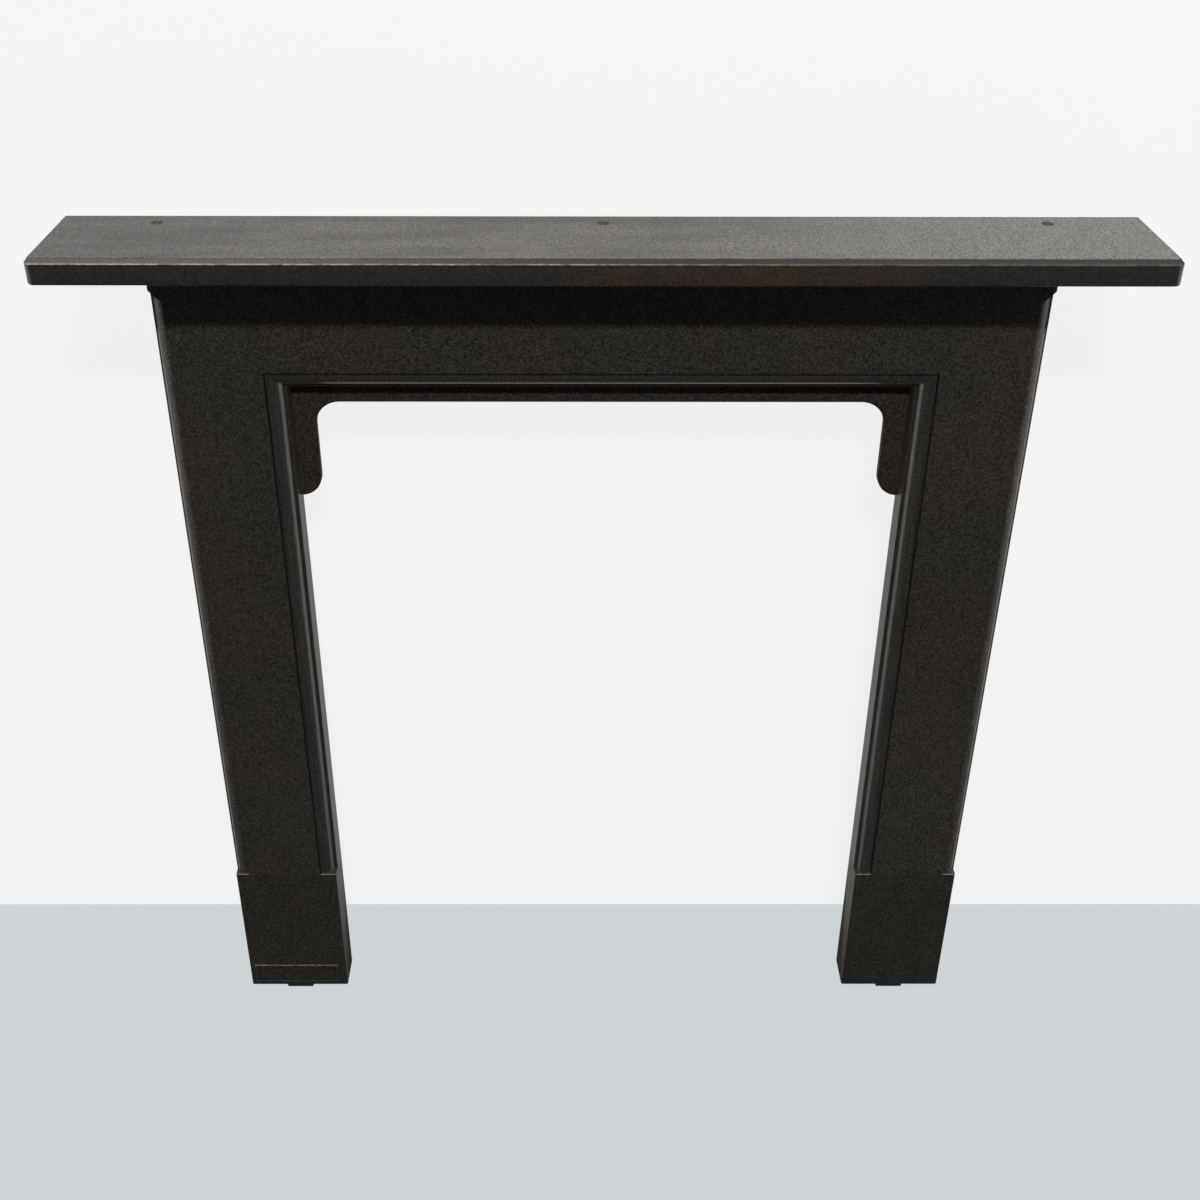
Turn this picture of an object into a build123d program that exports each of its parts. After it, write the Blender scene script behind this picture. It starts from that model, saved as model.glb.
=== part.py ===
from build123d import *
import math
import os

# Cast-iron fireplace surround: two jambs with plinths, a frieze and a mantel shelf, bolted together
# from behind. X runs across the hearth, the face looks towards -Y, the wall is at +Y, Z is up from
# the hearth. The origin is on the hearth, under the middle of the bounding box.

# Overall sizes, in millimetres
opening_width = 745.0
opening_height = 966.0
jamb_width = 143.5
frieze_height = 188.0
frame_depth = 50.0
plinth_height = 218.0

# Shelf
shelf_length = 1220.0
shelf_overhang = 110.0
shelf_plate = 6.0
rim_height = 26.0
rim_wall = 6.0
corner_radius = 8.0
margin_width = 15.0
margin_step = 0.8
margin_fall = 1.0
rim_round = 2.5
edge_round = 0.8

# Casting thicknesses
casting_wall = 8.0
foot_wall = 8.0
rib_wall = 6.0
rib_setback = 12.0

# Tapped bosses inside the open backs
boss_width = 18.0
boss_length = 22.0
thread_room = 0.1

# Moulding: sunk step, ovolo and fillet, mitred round the opening and stopped on the outer arrises
moulding_width = 22.5
moulding_depth = 17.0
outer_moulding_width = 18.0
outer_moulding_depth = 12.5
moulding_step = 4.0
fillet_width = 4.0
fillet_drop = 2.0
backing = 4.0
stop_from_top = 64.0
arris_round = 2.0

# Tie plate let into the castings' backs round the head of the opening
tie_thickness = 9.5
tie_drop = 30.5
tie_lap = 31.0
tie_room = 0.5
ear_length = 126.5
ear_width = 53.0
ear_corner = 30.0

# Fasteners
bolt_diameter = 8.0
hole_clearance = 0.5
head_across = 13.0
head_height = 5.0
nut_height = 6.0
thread_end = 3.0
washer_diameter = 15.0
washer_thickness = 1.6
screw_head = 14.2
screw_cone = 3.4
washer_room = 0.5
screw_from_wall = 25.0
joint_bolt_margin = 42.0
tie_screw_reach = 20.0
frieze_screw_pitch = 380.0
ear_screw_pitch = 90.0

# Foot packers
packer_width = 38.0
packer_depth = 44.0
packer_thickness = 5.0
packer_setback = 0.5

# Places that follow from the sizes
face_y = (shelf_overhang - frame_depth) / 2
back_y = face_y + frame_depth
half_opening = opening_width / 2
half_width = half_opening + jamb_width
half_shelf = shelf_length / 2
foot_z = packer_thickness
plinth_z = foot_z + plinth_height
head_z = foot_z + opening_height
seat_z = head_z + frieze_height
shelf_z = seat_z + shelf_plate
rim_z = shelf_z - rim_height
joint_x = half_opening + moulding_width
joint_z = head_z + moulding_width
cavity_top = seat_z - casting_wall
stop_z = seat_z - stop_from_top
hole_radius = bolt_diameter / 2 + hole_clearance
thread_radius = bolt_diameter / 2 + thread_room
thread_depth = tie_thickness + tie_screw_reach + thread_end
screw_x = half_width - casting_wall - washer_diameter / 2 - washer_room
screw_y = back_y - screw_from_wall
joint_bolt_y = face_y + (casting_wall + frame_depth) / 2
ear_end_z = head_z - tie_drop - ear_length + ear_width / 2
boss_x = half_opening + casting_wall + boss_width / 2
boss_z = head_z + casting_wall + boss_width / 2

# How far a cutting solid runs past the face it cuts
cut = 2.0


def prism_along_y(points, y0, y1):
    """Upright slab: an outline of (x, z) points pushed from y0 to y1."""
    outline = Polyline([(x, y0, z) for x, z in points], close=True)
    return extrude(make_face(outline), y1 - y0, dir=(0, 1, 0))


def prism_along_x(points, x0, x1):
    """Bar along X: an outline of (y, z) points pushed from x0 to x1."""
    outline = Polyline([(x0, y, z) for y, z in points], close=True)
    return extrude(make_face(outline), x1 - x0, dir=(1, 0, 0))


def prism_along_z(points, z0, z1):
    """Post: an outline of (x, y) points pushed from z0 to z1."""
    outline = Polyline([(x, y, z0) for x, y in points], close=True)
    return extrude(make_face(outline), z1 - z0, dir=(0, 0, 1))


def block(x0, x1, y0, y1, z0, z1):
    """Plain box between two corners."""
    return Pos((x0 + x1) / 2, (y0 + y1) / 2, (z0 + z1) / 2) * Box(abs(x1 - x0), abs(y1 - y0), abs(z1 - z0))


def mirrored(solid):
    """The same piece on the other side of the opening."""
    return mirror(solid, about=Plane.YZ)


def moulding_section(place, width, depth):
    """Waste cut from a square arris to leave the moulding. place(u, v) puts a point that lies
    u in from the arris along the face and v behind the face."""
    bottom = depth - fillet_drop
    ovolo_width = width - fillet_width
    ovolo_depth = bottom - moulding_step
    middle = (width - ovolo_width * math.sin(math.pi / 4), bottom - ovolo_depth * math.cos(math.pi / 4))
    ring = [
        Polyline([place(-cut, -cut), place(width, -cut), place(width, moulding_step)]),
        ThreePointArc(place(width, moulding_step), place(*middle), place(fillet_width, bottom)),
        Polyline([place(fillet_width, bottom), place(fillet_width, depth)]),
        Polyline([place(fillet_width, depth), place(-cut, depth), place(-cut, -cut)]),
    ]
    return make_face(Wire([edge for run in ring for edge in run.edges()]))


def cavity_section(place, width, depth, far):
    """Hollow behind a moulding and the face, as points, up to the distance far from the arris."""
    return [
        place(casting_wall, frame_depth + cut),
        place(casting_wall, depth + casting_wall),
        place(width + backing, casting_wall),
        place(far, casting_wall),
        place(far, frame_depth + cut),
    ]


def rooted_section(place, width, depth, far):
    """The same hollow grown into its walls, as points, for ribs and bosses that root in them."""
    root = casting_wall / 2
    return [
        place(root, frame_depth),
        place(root, depth + root),
        place(width + root, casting_wall),
        place(width + root, root),
        place(far, root),
        place(far, frame_depth),
    ]


def threaded_hole(x, z):
    """Tapped hole from the back plane into a boss."""
    hole = Cylinder(thread_radius, thread_depth + cut)
    return Pos(x, back_y - (thread_depth - cut) / 2, z) * Rot(90, 0, 0) * hole


# Right jamb, with its plinth
def make_jamb():
    outline = [
        (half_opening, foot_z),
        (half_width, foot_z),
        (half_width, seat_z),
        (joint_x, seat_z),
        (joint_x, joint_z),
        (half_opening, head_z),
    ]
    jamb = prism_along_y(outline, face_y, back_y)
    upright = [edge for edge in jamb.edges().filter_by(Axis.Z).group_by(Axis.Y)[0]
               if abs(edge.center().X - joint_x) > moulding_width / 2]
    jamb = fillet(upright, arris_round)

    def at_inner(u, v):
        return (half_opening + u, face_y + v)

    def at_outer(u, v):
        return (half_width - u, face_y + v)

    inner = moulding_section(lambda u, v: (*at_inner(u, v), plinth_z), moulding_width, moulding_depth)
    jamb -= extrude(inner, joint_z - plinth_z + cut, dir=(0, 0, 1))

    outer = moulding_section(lambda u, v: (*at_outer(u, v), plinth_z), outer_moulding_width,
                             outer_moulding_depth)
    run = extrude(outer, seat_z - plinth_z, dir=(0, 0, 1))
    moulding_x = half_width - outer_moulding_width
    reach = [
        (moulding_x - cut, plinth_z - cut),
        (half_width + 2 * cut, plinth_z - cut),
        (half_width + 2 * cut, stop_z + 2 * cut),
        (moulding_x - cut, stop_z - outer_moulding_width - cut),
    ]
    jamb -= run & prism_along_y(reach, face_y - 2 * cut, back_y)

    inside = [
        (half_opening + casting_wall, foot_z + foot_wall),
        (half_width - casting_wall, foot_z + foot_wall),
        (half_width - casting_wall, cavity_top),
        (joint_x + casting_wall, cavity_top),
        (joint_x + casting_wall, joint_z - casting_wall / 2),
        (half_opening + casting_wall, head_z - casting_wall / 2),
    ]
    hollow = prism_along_y(inside, face_y, back_y + cut)
    inner_hollow = cavity_section(at_inner, moulding_width, moulding_depth, jamb_width)
    outer_hollow = cavity_section(at_outer, outer_moulding_width, outer_moulding_depth, jamb_width)
    hollow &= prism_along_z(inner_hollow, 0, shelf_z)
    plain = block(0, half_width, face_y + casting_wall, back_y + cut, stop_z + backing, shelf_z)
    hollow &= prism_along_z(outer_hollow, 0, stop_z + backing) + plain
    jamb -= hollow

    inner_roots = rooted_section(at_inner, moulding_width, moulding_depth, jamb_width)
    outer_roots = rooted_section(at_outer, outer_moulding_width, outer_moulding_depth, jamb_width)
    rooted = prism_along_z(inner_roots, 0, shelf_z) & prism_along_z(outer_roots, 0, shelf_z)
    for z in rib_heights():
        rib = block(half_opening, half_width, face_y, back_y - rib_setback,
                    z - rib_wall / 2, z + rib_wall / 2)
        jamb += rib & rooted
    for z in jamb_boss_heights():
        boss = block(half_opening, half_opening + casting_wall + boss_width, face_y, back_y,
                     z - boss_length / 2, z + boss_length / 2)
        jamb += boss & rooted
        jamb -= threaded_hole(boss_x, z)

    jamb -= Pos(screw_x, screw_y, seat_z) * Cylinder(hole_radius, 4 * casting_wall)
    for z in joint_bolt_heights():
        jamb -= Pos(joint_x, joint_bolt_y, z) * Rot(0, 90, 0) * Cylinder(hole_radius, 4 * casting_wall)
    return jamb - tie_rebate()


# Frieze, between the jambs
def make_frieze():
    outline = [
        (-half_opening, head_z),
        (half_opening, head_z),
        (joint_x, joint_z),
        (joint_x, seat_z),
        (-joint_x, seat_z),
        (-joint_x, joint_z),
    ]
    frieze = prism_along_y(outline, face_y, back_y)

    def at_head(u, v):
        return (face_y + v, head_z + u)

    lower = moulding_section(lambda u, v: (-joint_x - cut, *at_head(u, v)), moulding_width, moulding_depth)
    frieze -= extrude(lower, 2 * joint_x + 2 * cut, dir=(1, 0, 0))

    end_x = joint_x - casting_wall
    floor_z = head_z + casting_wall
    splay = moulding_width - casting_wall / 2
    inside = [
        (-end_x + splay, floor_z),
        (end_x - splay, floor_z),
        (end_x, floor_z + splay),
        (end_x, cavity_top),
        (-end_x, cavity_top),
        (-end_x, floor_z + splay),
    ]
    hollow = prism_along_y(inside, face_y, back_y + cut)
    head_hollow = cavity_section(at_head, moulding_width, moulding_depth, frieze_height)
    hollow &= prism_along_x(head_hollow, -joint_x, joint_x)
    frieze -= hollow

    roots = rooted_section(at_head, moulding_width, moulding_depth, frieze_height)
    rooted = prism_along_x(roots, -joint_x, joint_x)
    for x in frieze_boss_places():
        boss = block(x - boss_length / 2, x + boss_length / 2, face_y, back_y, head_z,
                     head_z + casting_wall + boss_width)
        frieze += boss & rooted
        frieze -= threaded_hole(x, boss_z)

    frieze -= Pos(0, screw_y, seat_z) * Cylinder(hole_radius, 4 * casting_wall)
    for side in (-1, 1):
        for z in joint_bolt_heights():
            hole = Cylinder(hole_radius, 4 * casting_wall)
            frieze -= Pos(side * joint_x, joint_bolt_y, z) * Rot(0, 90, 0) * hole
    return frieze - tie_rebate()


# Tie plate
def tie_blank(room, y0, y1):
    """The plate's outline pushed from y0 to y1, grown by room at its edges."""
    lower_z = head_z - tie_drop
    upper_z = head_z + tie_lap
    radius = ear_width / 2 + room
    outer_x = half_opening + radius
    inner_x = half_opening - radius
    middle_y = (y0 + y1) / 2
    blank = block(-outer_x, outer_x, y0, y1, lower_z - room, upper_z + room)
    for side in (-1, 1):
        end = Pos(side * half_opening, middle_y, ear_end_z) * Rot(90, 0, 0) * Cylinder(radius, y1 - y0)
        ear = block(side * inner_x, side * outer_x, y0, y1, ear_end_z, lower_z)
        corner_x = side * (half_opening - ear_width / 2 - ear_corner)
        corner_z = lower_z - ear_corner
        web = block(side * inner_x, corner_x, y0, y1, corner_z, lower_z)
        bite = Pos(corner_x, middle_y, corner_z) * Rot(90, 0, 0) * Cylinder(ear_corner - room, 2 * (y1 - y0))
        blank += end + ear
        blank += web - bite
    return blank


def tie_rebate():
    """Waste cut from the castings' backs, so that the plate lies flush."""
    return tie_blank(tie_room, back_y - tie_thickness, back_y + cut)


def make_tie_plate():
    plate = tie_blank(0, back_y - tie_thickness, back_y)
    for seat in tie_screw_seats():
        plate -= seat * screw_hole()
    return plate


# Mantel shelf
def make_shelf():
    front = face_y - shelf_overhang
    quirk_y = front + margin_width
    body = block(-half_shelf, half_shelf, front, back_y, rim_z, shelf_z)
    body = fillet(body.edges().filter_by(Axis.Z).group_by(Axis.Y)[0], corner_radius)
    under = [edge for edge in body.edges().group_by(Axis.Z)[0] if edge.center().Y < back_y - cut]
    body = fillet(under, rim_round)

    table_z = shelf_z - margin_step
    margin = [
        (front - cut, table_z - margin_fall * (1 + cut / margin_width)),
        (quirk_y, table_z),
        (quirk_y, shelf_z + cut),
        (front - cut, shelf_z + cut),
    ]
    body -= prism_along_x(margin, -half_shelf - cut, half_shelf + cut)
    rim = [edge for edge in body.edges() if edge.center().Y < quirk_y - edge_round
           and edge.center().Z > table_z - margin_fall - edge_round]
    body = fillet(rim, edge_round)
    ends = [edge for edge in body.edges().filter_by(Axis.Y) if edge.center().Z > shelf_z - margin_step / 2]
    body = fillet(ends, edge_round)

    pocket = block(-half_shelf + rim_wall, half_shelf - rim_wall, front + rim_wall, back_y + cut,
                   rim_z - cut, seat_z)
    body -= pocket
    for seat in shelf_screw_seats():
        body -= seat * screw_hole()
    return body


# Places of the fasteners
def shelf_screw_seats():
    """Places of the shelf's screw heads, looking down through the shelf."""
    return [Pos(x, screw_y, shelf_z) for x in (-screw_x, 0, screw_x)]


def shelf_nut_seats():
    """Places under the castings' tops, looking down, where the shelf's washers and nuts go."""
    return [seat * Rot(180, 0, 0) for seat in shelf_screw_seats()]


def joint_bolt_heights():
    return [joint_z + joint_bolt_margin, cavity_top - joint_bolt_margin]


def joint_seats():
    """Places of the joint bolts, from inside each jamb towards the middle of the frieze."""
    seats = []
    for side in (-1, 1):
        turn = Rot(0, -90 * side, 0)
        for z in joint_bolt_heights():
            seats.append(Pos(side * (joint_x + casting_wall), joint_bolt_y, z) * turn)
    return seats


def rib_heights():
    return [plinth_z, (plinth_z + ear_end_z) / 2, ear_end_z]


def jamb_boss_heights():
    """Every rib carries a boss, and the ear's upper screw has one of its own."""
    return rib_heights() + [ear_end_z + ear_screw_pitch]


def frieze_boss_places():
    return [-frieze_screw_pitch / 2, frieze_screw_pitch / 2]


def tie_screw_seats():
    """Places of the tie plate's screw heads, seen from behind."""
    spots = [(x, boss_z) for x in frieze_boss_places()]
    for z in (ear_end_z, ear_end_z + ear_screw_pitch):
        spots += [(-boss_x, z), (boss_x, z)]
    return [Pos(x, back_y, z) * Rot(-90, 0, 0) for x, z in spots]


# Fasteners, each with its seat at the origin
def through_length(grip):
    return grip + washer_thickness + nut_height + thread_end


def bolt(grip):
    """Square-headed bolt: head below z = 0, shank up through grip, washer and nut."""
    length = through_length(grip)
    head = Pos(0, 0, -head_height / 2) * Box(head_across, head_across, head_height)
    shank = Pos(0, 0, length / 2) * Cylinder(bolt_diameter / 2, length)
    return head + shank


def washer(grip):
    """Round washer lying on the far side of the grip."""
    ring = Cylinder(washer_diameter / 2, washer_thickness) - Cylinder(hole_radius, 2 * washer_thickness)
    return Pos(0, 0, grip + washer_thickness / 2) * ring


def nut(grip):
    """Square nut on the washer."""
    body = Box(head_across, head_across, nut_height) - Cylinder(bolt_diameter / 2, 2 * nut_height)
    return Pos(0, 0, grip + washer_thickness + nut_height / 2) * body


def countersink(room):
    """Cone of a screw head whose top is at z = 0, grown by room all round."""
    return Pos(0, 0, -screw_cone / 2) * Cone(bolt_diameter / 2 + room, screw_head / 2 + room, screw_cone)


def countersunk_screw(length):
    """Screw with its flush head at z = 0 and its shank below."""
    return countersink(0) + Pos(0, 0, -length / 2) * Cylinder(bolt_diameter / 2, length)


def screw_hole():
    """Waste of a countersunk hole right through a plate whose top is at z = 0."""
    return countersink(hole_clearance / 2) + Cylinder(hole_radius, 4 * casting_wall)


# Foot packers
def make_packer():
    front = face_y + packer_setback
    middle = half_opening + jamb_width / 2
    return block(middle - packer_width / 2, middle + packer_width / 2, front, front + packer_depth, 0,
                 packer_thickness)


def save(name, *pieces):
    """Writes one node, whose pieces stay separate solids."""
    solids = [solid for piece in pieces for solid in piece.solids()]
    node = solids[0] if len(solids) == 1 else Compound(children=solids)
    export_step(node, f"parts/{name}.step")


def main():
    os.makedirs("parts", exist_ok=True)
    right = make_jamb()
    packer = make_packer()
    shelf_grip = shelf_plate + casting_wall
    joint_grip = 2 * casting_wall
    shelf_screw = countersunk_screw(through_length(shelf_grip))
    tie_screw = countersunk_screw(tie_thickness + tie_screw_reach)
    save("right_jamb", right)
    save("left_jamb", mirrored(right))
    save("frieze", make_frieze())
    save("tie_plate", make_tie_plate())
    save("mantel_shelf", make_shelf())
    save("shelf_screws", *[seat * shelf_screw for seat in shelf_screw_seats()])
    save("shelf_washers", *[seat * washer(shelf_grip) for seat in shelf_nut_seats()])
    save("shelf_nuts", *[seat * nut(shelf_grip) for seat in shelf_nut_seats()])
    save("joint_bolts", *[seat * bolt(joint_grip) for seat in joint_seats()])
    save("joint_washers", *[seat * washer(joint_grip) for seat in joint_seats()])
    save("joint_nuts", *[seat * nut(joint_grip) for seat in joint_seats()])
    save("tie_screws", *[seat * tie_screw for seat in tie_screw_seats()])
    save("right_foot_packer", packer)
    save("left_foot_packer", mirrored(packer))


main()
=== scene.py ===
import math

import bpy
from mathutils import Matrix, Vector


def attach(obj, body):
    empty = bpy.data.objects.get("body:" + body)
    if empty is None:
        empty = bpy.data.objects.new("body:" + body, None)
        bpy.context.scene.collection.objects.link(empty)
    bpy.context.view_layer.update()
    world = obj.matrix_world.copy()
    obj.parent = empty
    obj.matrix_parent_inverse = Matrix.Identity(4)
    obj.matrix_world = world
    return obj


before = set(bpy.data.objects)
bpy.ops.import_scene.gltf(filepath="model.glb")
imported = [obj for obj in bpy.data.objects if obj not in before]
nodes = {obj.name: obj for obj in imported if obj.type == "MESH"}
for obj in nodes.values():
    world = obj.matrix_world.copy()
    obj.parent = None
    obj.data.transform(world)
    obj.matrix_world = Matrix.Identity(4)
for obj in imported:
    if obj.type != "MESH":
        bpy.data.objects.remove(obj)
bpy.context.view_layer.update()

# Places on the surround that the scene's pieces and finishes go by, in metres
face_y = 0.030
shelf_front = -0.080
shelf_z = 1.165
margin_width = 0.015
half_opening = 0.3725
half_width = 0.516
moulding_width = 0.0225
moulding_depth = 0.017
outer_moulding_width = 0.018
outer_moulding_depth = 0.0125
fillet_width = 0.004
plinth_z = 0.223
head_z = 0.971
screw_pitch = 0.500
screw_y = 0.055
tablet_width = 0.1244
tablet_height = 0.0347
tablet_x = -0.4467
tablet_z = 0.0280
tablet_border = 0.0022
wall_y = 0.209
stage_side = 8.0


# Shader helpers
class Value:
    """A socket's value, on which Python's operators add Math nodes."""

    def __init__(self, shader, socket):
        self.shader = shader
        self.socket = socket

    def __add__(self, other):
        return self.shader.maths("ADD", self, other)

    def __sub__(self, other):
        return self.shader.maths("SUBTRACT", self, other)

    def __mul__(self, other):
        return self.shader.maths("MULTIPLY", self, other)

    def __mod__(self, other):
        return self.shader.maths("FLOORED_MODULO", self, other)

    def __gt__(self, other):
        return self.shader.maths("GREATER_THAN", self, other)

    def __lt__(self, other):
        return self.shader.maths("LESS_THAN", self, other)

    def __rsub__(self, other):
        return self.shader.maths("SUBTRACT", other, self)

    def __abs__(self):
        return self.shader.maths("ABSOLUTE", self)

    __radd__ = __add__
    __rmul__ = __mul__

    def most(self, other):
        return self.shader.maths("MAXIMUM", self, other)

    def least(self, other):
        return self.shader.maths("MINIMUM", self, other)

    def clamped(self):
        return self.most(0.0).least(1.0)


class Shader:
    """Node tree of a new material or world.

    node() adds any node, and the rest are shorthands for the common ones.
    """

    def __init__(self, name, kind=bpy.data.materials):
        self.owner = kind.new(name)
        self.owner.use_nodes = True
        self.tree = self.owner.node_tree
        self.tree.nodes.clear()
        self.place = self.node("ShaderNodeTexCoord").outputs["Object"]

    def node(self, kind, settings=None, **inputs):
        """Any node: its settings first, then its sockets, by name or by number as _0, _1."""
        made = self.tree.nodes.new(kind)
        for name, value in (settings or {}).items():
            setattr(made, name, value)
        for name, value in inputs.items():
            self.set(made.inputs[int(name[1:]) if name[1:].isdigit() else name.replace("_", " ")], value)
        return made

    def set(self, socket, value):
        value = value.socket if isinstance(value, Value) else value
        if isinstance(value, bpy.types.NodeSocket):
            self.tree.links.new(value, socket)
        else:
            socket.default_value = value

    def maths(self, operation, first, second=0.0):
        made = self.node("ShaderNodeMath", {"operation": operation}, _0=first, _1=second)
        return Value(self, made.outputs[0])

    def noise(self, scale, detail=4.0, roughness=0.5, place=None):
        made = self.node("ShaderNodeTexNoise", Vector=place or self.place, Scale=scale, Detail=detail,
                         Roughness=roughness)
        return Value(self, made.outputs["Fac"])

    def spots(self, scale):
        """Distance to the nearest of many scattered points."""
        made = self.node("ShaderNodeTexVoronoi", Vector=self.place, Scale=scale)
        return Value(self, made.outputs["Distance"])

    def between(self, value, low, high, first=0.0, last=1.0):
        """Smooth step of a value from low to high."""
        made = self.node("ShaderNodeMapRange", {"interpolation_type": "SMOOTHSTEP"}, Value=value,
                         _1=low, _2=high, _3=first, _4=last)
        return Value(self, made.outputs["Result"])

    def near(self, value, middle, reach):
        """1 where a value equals middle, 0 from reach away."""
        return self.between(abs(value - middle), reach, 0.0)

    def mix(self, factor, first, second):
        """Colour between two colours."""
        made = self.node("ShaderNodeMix", {"data_type": "RGBA"}, _0=factor, _6=first, _7=second)
        return made.outputs[2]

    def axes(self):
        """X, Y and Z of the Object coordinates as values."""
        made = self.node("ShaderNodeSeparateXYZ", Vector=self.place)
        return [Value(self, socket) for socket in made.outputs]

    def stretched(self, *scale):
        """Object coordinates scaled along each axis."""
        return self.node("ShaderNodeMapping", Vector=self.place, Scale=scale).outputs["Vector"]

    def bump(self, height, strength, distance):
        made = self.node("ShaderNodeBump", Height=height, Strength=strength, Distance=distance)
        return made.outputs["Normal"]

    def surface(self, colour, roughness, normal=None, **fixed):
        made = self.node("ShaderNodeBsdfPrincipled", Base_Color=colour, Roughness=roughness)
        for name, value in fixed.items():
            made.inputs[name.replace("_", " ")].default_value = value
        if normal is not None:
            self.set(made.inputs["Normal"], normal)
        self.node("ShaderNodeOutputMaterial", Surface=made.outputs["BSDF"])
        return self.owner


def srgb(red, green, blue):
    """Linear colour from an 8-bit one."""
    linear = [((c / 255 + 0.055) / 1.055) ** 2.4 if c > 10.3 else c / 255 / 12.92 for c in (red, green, blue)]
    return (*linear, 1.0)


def paint(piece, material):
    piece.data.materials.clear()
    piece.data.materials.append(material)


# Materials
def frame_iron():
    """Blackened casting of the jambs and frieze.

    Speckled skin with brown patches, mouldings rubbed smooth, ledges and arrises rubbed bright, with painted
    highlights along the mouldings and painted shade in their hollows.
    """
    s = Shader("frame_iron")
    x, y, z = s.axes()
    side = abs(x)
    above_plinth = z > plinth_z
    step_x = half_opening + moulding_width
    step_z = head_z + moulding_width
    fillet_y = face_y + moulding_depth
    outer_step_x = half_width - outer_moulding_width

    # Skin
    skin = s.noise(550.0, 4.0, 0.95)
    speckle = s.between(skin, 0.455, 0.55)
    patches = s.between(s.noise(6.0, 3.0, 0.55), 0.42, 0.6) * (above_plinth * 0.5 + 0.5)
    dark = s.mix(patches, srgb(5, 5, 4), srgb(7, 5, 4))
    light = s.mix(patches, srgb(58, 56, 51), srgb(64, 56, 48))
    lower_jamb = s.between(z, 0.65, 0.35) * above_plinth * (x * 0.4 + 0.6)
    light = s.mix(lower_jamb, light, srgb(70, 65, 60))
    colour = s.mix(speckle, dark, light)
    glints = s.between(s.spots(140.0), 0.13, 0.06) * s.between(s.noise(18.0), 0.5, 0.6)
    colour = s.mix(glints, colour, srgb(96, 90, 84))

    # Moulding round the opening, smoothed by rubbing, with a painted highlight along its round
    smooth = (side < step_x) * (z < step_z) * above_plinth
    smooth = smooth * (y > face_y + 0.0005) * (y < fillet_y - 0.0002)
    along = s.between(s.noise(1.0, 2.0, 0.6, s.stretched(900.0, 900.0, 12.0)), 0.35, 0.65)
    colour = s.mix(smooth * 0.75, colour, s.mix(along, srgb(28, 28, 27), srgb(51, 50, 47)))
    from_opening = (side - half_opening).most(z - head_z)
    # Painted highlight: a bright line along the round, stronger along the head
    crest_highlight = s.near(from_opening, 0.0062, 0.0026) * smooth
    crest_highlight_strength = (z > head_z) * 0.2 + 0.38
    colour = s.mix(crest_highlight * crest_highlight_strength, colour, srgb(128, 124, 118))

    # Painted shade, dark in the sunk step and behind the round
    step_reach = 0.0013
    step_end = 0.0007
    step = s.near(side, step_x, step_reach) * above_plinth * (z < step_z + step_end)
    step = step + s.near(z, step_z, step_reach) * (side < step_x + step_end)
    # Painted shade in the narrow recess behind the round
    fillet_shade = (y > fillet_y - 0.0025) * (y < fillet_y - 0.0002) * (side < half_opening + fillet_width + 0.0002)
    colour = s.mix(((step + fillet_shade) * 0.85).clamped(), colour, srgb(6, 5, 5))

    # Inner sides of the plinths: a painted reflection, pale in front of a slanting line and fading darker
    # towards the floor
    inside = (side < half_opening + 0.0003) * (z < plinth_z)
    slant = s.between(y - z * 0.2, 0.046, 0.036)
    # Painted reflection of the bright wall on the plinths' inner sides
    pale = inside * slant * s.between(z, 0.02, 0.19, 0.35, 1.0)
    colour = s.mix(pale * (speckle * 0.5 + 0.35), colour, srgb(116, 112, 104))

    # Ledges where the mouldings end, rubbed bright along their front, the front line also a painted highlight
    ragged = s.between(s.noise(190.0, 2.0, 0.6), 0.35, 0.6, 0.5, 1.0)
    ledge_run = (side > outer_step_x) + (side < step_x)
    ledge = s.near(z, plinth_z, 0.0012) * ledge_run * (y < fillet_y - 0.0005)
    colour = s.mix(ledge * speckle * 0.3, colour, srgb(100, 95, 90))
    # Rubbed front arris of the ledges, painted bright as a highlight too
    lip_wear_and_highlight = s.near(z, plinth_z, 0.0006) * ledge_run * s.near(y, face_y, 0.0016)
    colour = s.mix((lip_wear_and_highlight * ragged).clamped(), colour, srgb(158, 150, 142))

    # Outer moulding: lumpy and rough, its round darkened with painted shade, its fillet rubbed to a thin pale
    # line that is also a painted highlight
    band = s.between(side, outer_step_x + 0.002, half_width - 0.010) * above_plinth
    lumps = s.noise(210.0, 3.0, 0.7)
    colour = s.mix(band * s.between(lumps, 0.52, 0.66) * 0.7, colour, srgb(84, 80, 76))
    # Painted shade on the outer part of the round
    rounded = s.between(side, half_width - 0.012, half_width - 0.007) * above_plinth
    rounded = rounded * (side < half_width - fillet_width)
    colour = s.mix(rounded * 0.5, colour, srgb(14, 14, 13))
    # Rubbed fillet painted as a thin bright highlight, fading out towards the shelf
    edge_wear_and_highlight = s.near(side, half_width - 0.0029, 0.0017) * above_plinth
    edge_wear_and_highlight = edge_wear_and_highlight * (y < face_y + outer_moulding_depth + 0.002) * s.between(z, 1.11, 1.06)
    edge_wear_and_highlight = edge_wear_and_highlight * s.between(s.noise(60.0, 3.0, 0.6), 0.3, 0.5, 0.6, 1.0)
    colour = s.mix(edge_wear_and_highlight * 0.85, colour, srgb(146, 140, 132))

    roughness = s.between(skin, 0.3, 0.7, 0.36, 0.48) + inside * 0.3 + band * 0.22 - smooth * 0.13
    height = skin * 0.3 * (1.0 - smooth * 0.8) + lumps * band
    return s.surface(colour, roughness, s.bump(height, 0.6, 0.0006), Specular_IOR_Level=0.28)


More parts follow.
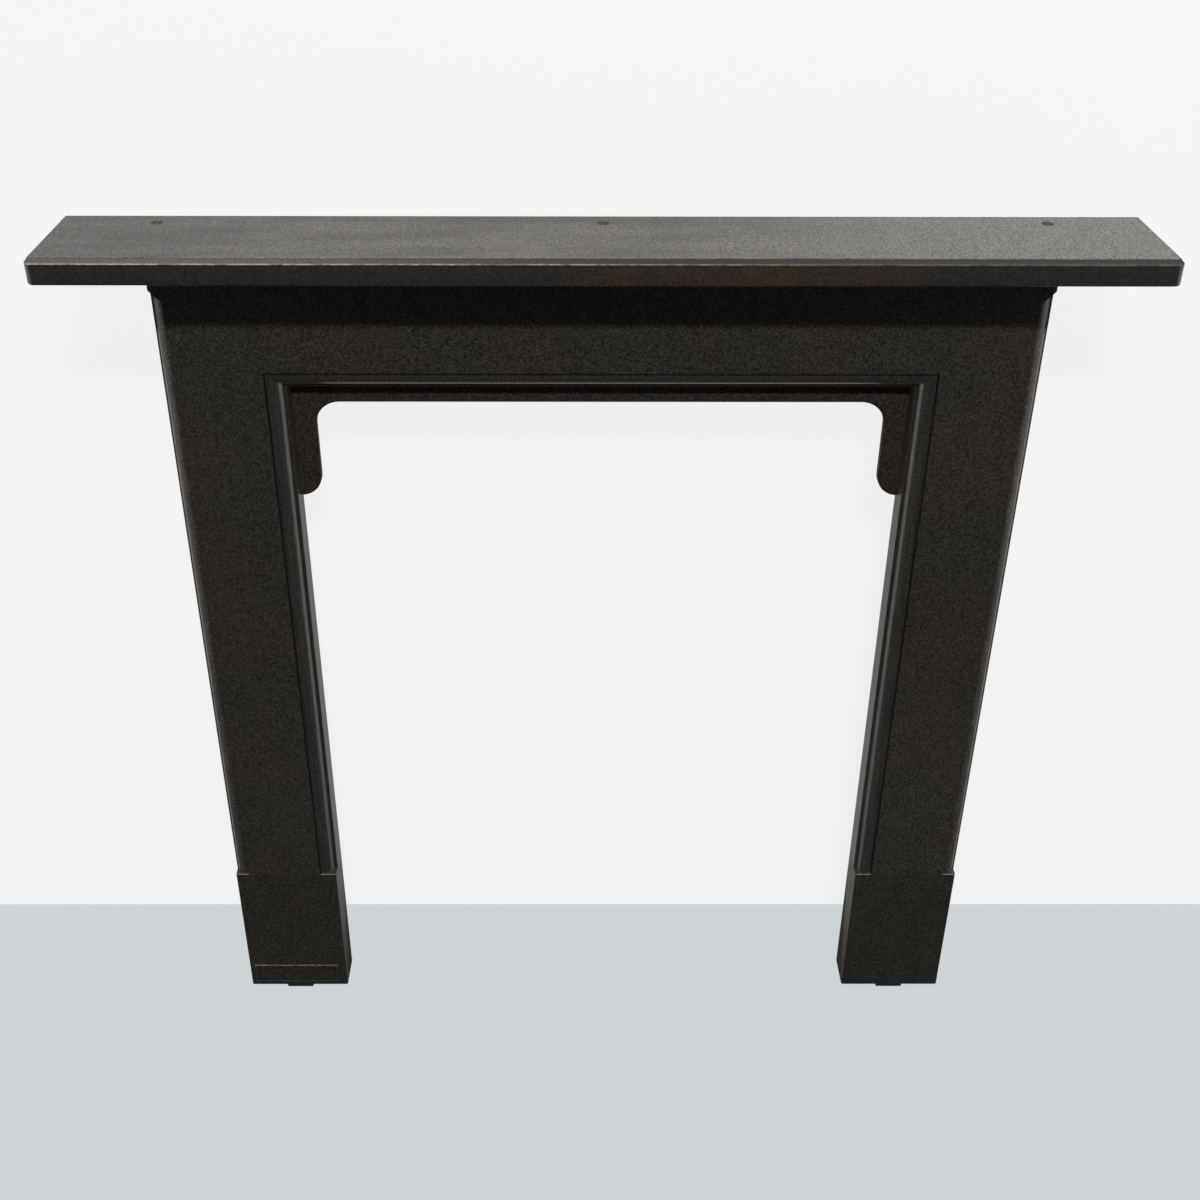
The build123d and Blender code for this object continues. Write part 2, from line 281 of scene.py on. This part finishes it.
def shelf_iron():
    """The same iron on the shelf: top rubbed pale, margin brown, front arris rubbed bright with a painted
    highlight, brightest at the left.
    """
    s = Shader("shelf_iron")
    x, y, z = s.axes()
    skin = s.noise(1.0, 4.0, 0.95, s.stretched(580.0, 406.0, 586.0))
    speckle = s.between(skin, 0.42, 0.58)
    streaks = s.between(s.noise(5.0, 4.0, 0.6, s.stretched(1.0, 5.0, 1.0)), 0.35, 0.65)
    brown = s.between(x, -0.07, 0.04) * s.between(x, 0.36, 0.27)
    brown = brown * s.between(s.noise(9.0, 3.0, 0.6), 0.3, 0.55, 0.4, 1.0)
    low = s.mix(streaks, srgb(20, 20, 19), srgb(26, 26, 25))
    high = s.mix(streaks, srgb(98, 95, 91), srgb(117, 114, 110))
    high = s.mix(s.between(x, 0.0, 0.5), high, srgb(133, 131, 127))
    top = s.mix(speckle, low, high)
    margin_low = s.mix(s.between(x, -0.55, 0.0), srgb(44, 36, 31), srgb(14, 13, 12))
    margin_high = s.mix(s.between(x, -0.5, 0.1), srgb(116, 105, 98), srgb(58, 55, 52))
    margin = s.mix(speckle * 0.8, margin_low, margin_high)
    fascia_dark = s.mix(brown, srgb(9, 8, 8), srgb(17, 11, 7))
    fascia_light = s.mix(brown, srgb(45, 42, 39), srgb(59, 47, 35))
    fascia = s.mix(speckle, fascia_dark, fascia_light)

    # Where the margin ends, and where the rounded front arris meets the fascia
    quirk_y = shelf_front + margin_width
    arris_z = shelf_z - 0.0024
    on_margin = s.between(y, quirk_y, quirk_y - 0.0006)
    on_top = s.between(z, arris_z - 0.0008, arris_z)
    colour = s.mix(on_top, fascia, s.mix(on_margin, top, margin))
    ragged = s.between(s.noise(70.0, 4.0, 0.7), 0.36, 0.6, 0.2, 1.0)
    arris = s.near(y, shelf_front + 0.0005, 0.0014) * s.near(z, arris_z, 0.0011)
    rubbed = s.near(y, quirk_y + 0.0006, 0.001) * on_top * ragged
    colour = s.mix(rubbed * 0.45, colour, srgb(150, 142, 134))
    # Front arris rubbed bright and painted as a highlight, brightest at the left
    arris_wear_and_highlight = s.mix(s.between(x, -0.35, 0.35), srgb(182, 174, 166), srgb(98, 94, 88))
    colour = s.mix((arris * ragged).clamped(), colour, arris_wear_and_highlight)
    underside = (z < shelf_z - 0.004) * (y > shelf_front + 0.004)
    roughness = s.between(skin, 0.3, 0.7, 0.42, 0.54) + on_top * on_margin * 0.25 + underside * 0.46
    return s.surface(colour, roughness, s.bump(skin, 0.7, 0.0004), Specular_IOR_Level=0.28)


def raw_iron():
    """The tie plate, dark and rough as it came from the sand."""
    s = Shader("raw_iron")
    lumps = s.noise(420.0, 3.0, 0.75)
    patches = s.between(s.noise(16.0, 3.0, 0.6), 0.4, 0.62)
    dark = s.mix(patches, srgb(12, 10, 9), srgb(15, 11, 9))
    light = s.mix(patches, srgb(54, 48, 44), srgb(57, 48, 41))
    colour = s.mix(s.between(lumps, 0.38, 0.66), dark, light)
    return s.surface(colour, 0.7, s.bump(lumps, 0.7, 0.0009), Specular_IOR_Level=0.25)


def screw_iron():
    """Countersunk heads: slot filled with polish, far rim shaded."""
    s = Shader("screw_iron")
    x, y, z = s.axes()
    across = (x + screw_pitch / 2) % screw_pitch - screw_pitch / 2
    slot = s.near(across, 0.0, 0.0011)
    rim = s.between(y, screw_y + 0.002, screw_y + 0.0065)
    skin = s.noise(420.0, 2.0, 0.7)
    colour = s.mix(s.between(skin, 0.36, 0.64), srgb(34, 32, 29), srgb(62, 55, 48))
    colour = s.mix(rim * 0.7, colour, srgb(20, 18, 17))
    colour = s.mix(slot * 0.6, colour, srgb(84, 76, 68))
    return s.surface(colour, 0.6, s.bump(skin * 0.2 - slot, 0.5, 0.0006), Specular_IOR_Level=0.25)


def fixing_steel():
    """Dull black bolts, nuts and washers with a bloom of rust."""
    s = Shader("fixing_steel")
    rust = s.between(s.noise(120.0, 4.0, 0.6), 0.5, 0.66)
    colour = s.mix(rust, srgb(78, 76, 74), srgb(104, 66, 42))
    return s.surface(colour, rust * 0.3 + 0.45, s.bump(s.noise(500.0), 0.3, 0.0003), Metallic=0.4)


def packer_rubber():
    s = Shader("packer_rubber")
    return s.surface(s.mix(s.noise(60.0), srgb(20, 20, 21), srgb(32, 31, 30)), 0.85)


frame_finish = frame_iron()
finishes = {
    "mantel_shelf": shelf_iron(),
    "frieze": frame_finish,
    "left_jamb": frame_finish,
    "right_jamb": frame_finish,
    "tie_plate": raw_iron(),
    "shelf_screws": screw_iron(),
    "left_foot_packer": packer_rubber(),
}
finishes["right_foot_packer"] = finishes["left_foot_packer"]
steel = fixing_steel()
for name, piece in nodes.items():
    paint(piece, finishes.get(name, steel))


# Tablet
def make_tablet():
    """Bare raised border, cast on the foot of the left plinth."""
    relief = 0.0012
    bpy.ops.object.select_all(action="DESELECT")
    bpy.ops.mesh.primitive_plane_add(size=1.0)
    piece = bpy.context.object
    piece.name = "tablet_border"
    bpy.ops.object.mode_set(mode="EDIT")
    bpy.ops.transform.resize(value=(tablet_width, tablet_height, 1.0))
    bpy.ops.mesh.inset(thickness=tablet_border)
    bpy.ops.mesh.delete(type="FACE")
    bpy.ops.mesh.select_all(action="SELECT")
    bpy.ops.mesh.extrude_region_move(TRANSFORM_OT_translate={"value": (0.0, 0.0, relief)})
    bpy.ops.mesh.select_all(action="SELECT")
    bpy.ops.mesh.normals_make_consistent(inside=False)
    bpy.ops.transform.rotate(value=-math.pi / 2, orient_axis="X", center_override=(0.0, 0.0, 0.0))
    bpy.ops.transform.translate(value=(tablet_x, face_y, tablet_z))
    bpy.ops.object.mode_set(mode="OBJECT")
    rounding = piece.modifiers.new("rounding", "BEVEL")
    rounding.width = 0.0005
    rounding.segments = 2
    bpy.ops.object.modifier_apply(modifier="rounding")
    return piece


def tablet_iron():
    """The frame's iron, with a painted highlight along the top bar."""
    s = Shader("tablet_iron")
    x, y, z = s.axes()
    ragged = s.between(s.noise(240.0, 2.0, 0.6), 0.38, 0.6, 0.2, 1.0)
    bar_z = tablet_z + tablet_height / 2 - tablet_border
    top_bar_highlight = s.between(z, bar_z - 0.00035, bar_z + 0.00085)
    # Painted highlight along the top bar, the other bars left dim
    colour = s.mix((top_bar_highlight * 0.88 + 0.12) * ragged, srgb(34, 32, 30), srgb(120, 112, 104))
    return s.surface(colour, 0.5, s.bump(s.noise(520.0, 3.0, 0.65), 0.4, 0.0004), Specular_IOR_Level=0.4)


tablet = make_tablet()
paint(tablet, tablet_iron())
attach(tablet, "root")


# Stage
def stage_material(name, matt_colour, seen_colour, mirrored_colour):
    """Matt surface, seen evenly lit, reflected by the iron at a set brightness and clear from behind."""
    s = Shader(name)
    path = s.node("ShaderNodeLightPath")
    camera_ray = Value(s, path.outputs["Is Camera Ray"])
    glossy_ray = Value(s, path.outputs["Is Glossy Ray"])
    matt = s.node("ShaderNodeBsdfDiffuse", Color=matt_colour)
    plain = s.node("ShaderNodeEmission", Color=s.mix(glossy_ray, seen_colour, mirrored_colour))
    evenness = 0.9
    plain_share = (camera_ray * evenness).most(glossy_ray)
    front = s.node("ShaderNodeMixShader", _0=plain_share, _1=matt.outputs[0], _2=plain.outputs[0])
    behind = s.node("ShaderNodeNewGeometry").outputs["Backfacing"]
    clear = s.node("ShaderNodeBsdfTransparent")
    mixed = s.node("ShaderNodeMixShader", _0=behind, _1=front.outputs[0], _2=clear.outputs[0])
    s.node("ShaderNodeOutputMaterial", Surface=mixed.outputs[0])
    return s.owner


bpy.ops.mesh.primitive_plane_add(size=stage_side, location=(0.0, 0.0, 0.0))
floor = bpy.context.object
floor.name = "floor"
paint(floor, stage_material("pale_floor", srgb(118, 122, 124), srgb(214, 219, 221), srgb(96, 98, 99)))
bpy.ops.mesh.primitive_plane_add(size=stage_side, location=(0.0, wall_y, stage_side / 2),
                                 rotation=(math.pi / 2, 0.0, 0.0))
backdrop = bpy.context.object
backdrop.name = "backdrop"
paint(backdrop, stage_material("pale_wall", srgb(236, 236, 238), srgb(246, 246, 246), srgb(225, 225, 226)))


# Light
def lamp(name, place, target, size, power):
    """Soft rectangular lamp that points from its place to its target and isn't seen itself."""
    data = bpy.data.lights.new(name, "AREA")
    data.shape = "RECTANGLE"
    data.size, data.size_y = size
    data.energy = power
    lamp_object = bpy.data.objects.new(name, data)
    lamp_object.visible_camera = False
    bpy.context.scene.collection.objects.link(lamp_object)
    lamp_object.location = place
    lamp_object.rotation_euler = (Vector(target) - Vector(place)).to_track_quat("-Z", "Y").to_euler()


def room_light(strength, seen_strength):
    """Even white light from all around, brighter where it is seen directly."""
    s = Shader("room", bpy.data.worlds)
    camera_ray = Value(s, s.node("ShaderNodeLightPath").outputs["Is Camera Ray"])
    brightness = camera_ray * seen_strength + strength
    sky = s.node("ShaderNodeBackground", Color=(1.0, 1.0, 1.0, 1.0), Strength=brightness)
    s.node("ShaderNodeOutputWorld", Surface=sky.outputs[0])
    return s.owner


lamp("ceiling_panel", (0.3, -0.4, 2.9), (0.0, -0.1, 1.1), (2.6, 1.2), 26.0)
lamp("front_panel", (0.15, -2.6, 3.16), (0.0, 0.0, 0.8), (0.4, 0.15), 90.0)
lamp("left_panel", (-2.4, -0.08, 1.0), (0.0, -0.08, 0.6), (0.54, 2.2), 42.0)
lamp("right_panel", (2.4, -0.08, 1.0), (0.0, -0.08, 0.6), (0.54, 2.2), 42.0)
bpy.context.scene.world = room_light(0.045, 0.85)


# Camera, at the photograph's viewing point, in metres, degrees and pixels
image_side = 1200.0
focal_pixels = 1503.1
centre_x = 577.3
sensor = 36.0
camera_place = Vector((-0.0337, -1.6056, 1.6833))
pitch = math.radians(31.41)
yaw = math.radians(0.21)
roll = math.radians(-0.14)
forward = Vector((math.sin(yaw) * math.cos(pitch), math.cos(yaw) * math.cos(pitch), -math.sin(pitch)))
level_right = Vector((math.cos(yaw), -math.sin(yaw), 0.0))
level_down = forward.cross(level_right)
right = level_right * math.cos(roll) + level_down * math.sin(roll)
down = level_down * math.cos(roll) - level_right * math.sin(roll)
camera_data = bpy.data.cameras.new("camera")
camera_data.sensor_width = sensor
camera_data.lens = focal_pixels * sensor / image_side
camera_data.shift_x = (image_side / 2 - centre_x) / image_side
camera_data.clip_start = 0.01
camera = bpy.data.objects.new("camera", camera_data)
bpy.context.scene.collection.objects.link(camera)
turn = Matrix((right, -down, -forward)).transposed()
camera.matrix_world = Matrix.Translation(camera_place) @ turn.to_4x4()
bpy.context.scene.camera = camera
bpy.context.scene.view_settings.view_transform = "Standard"
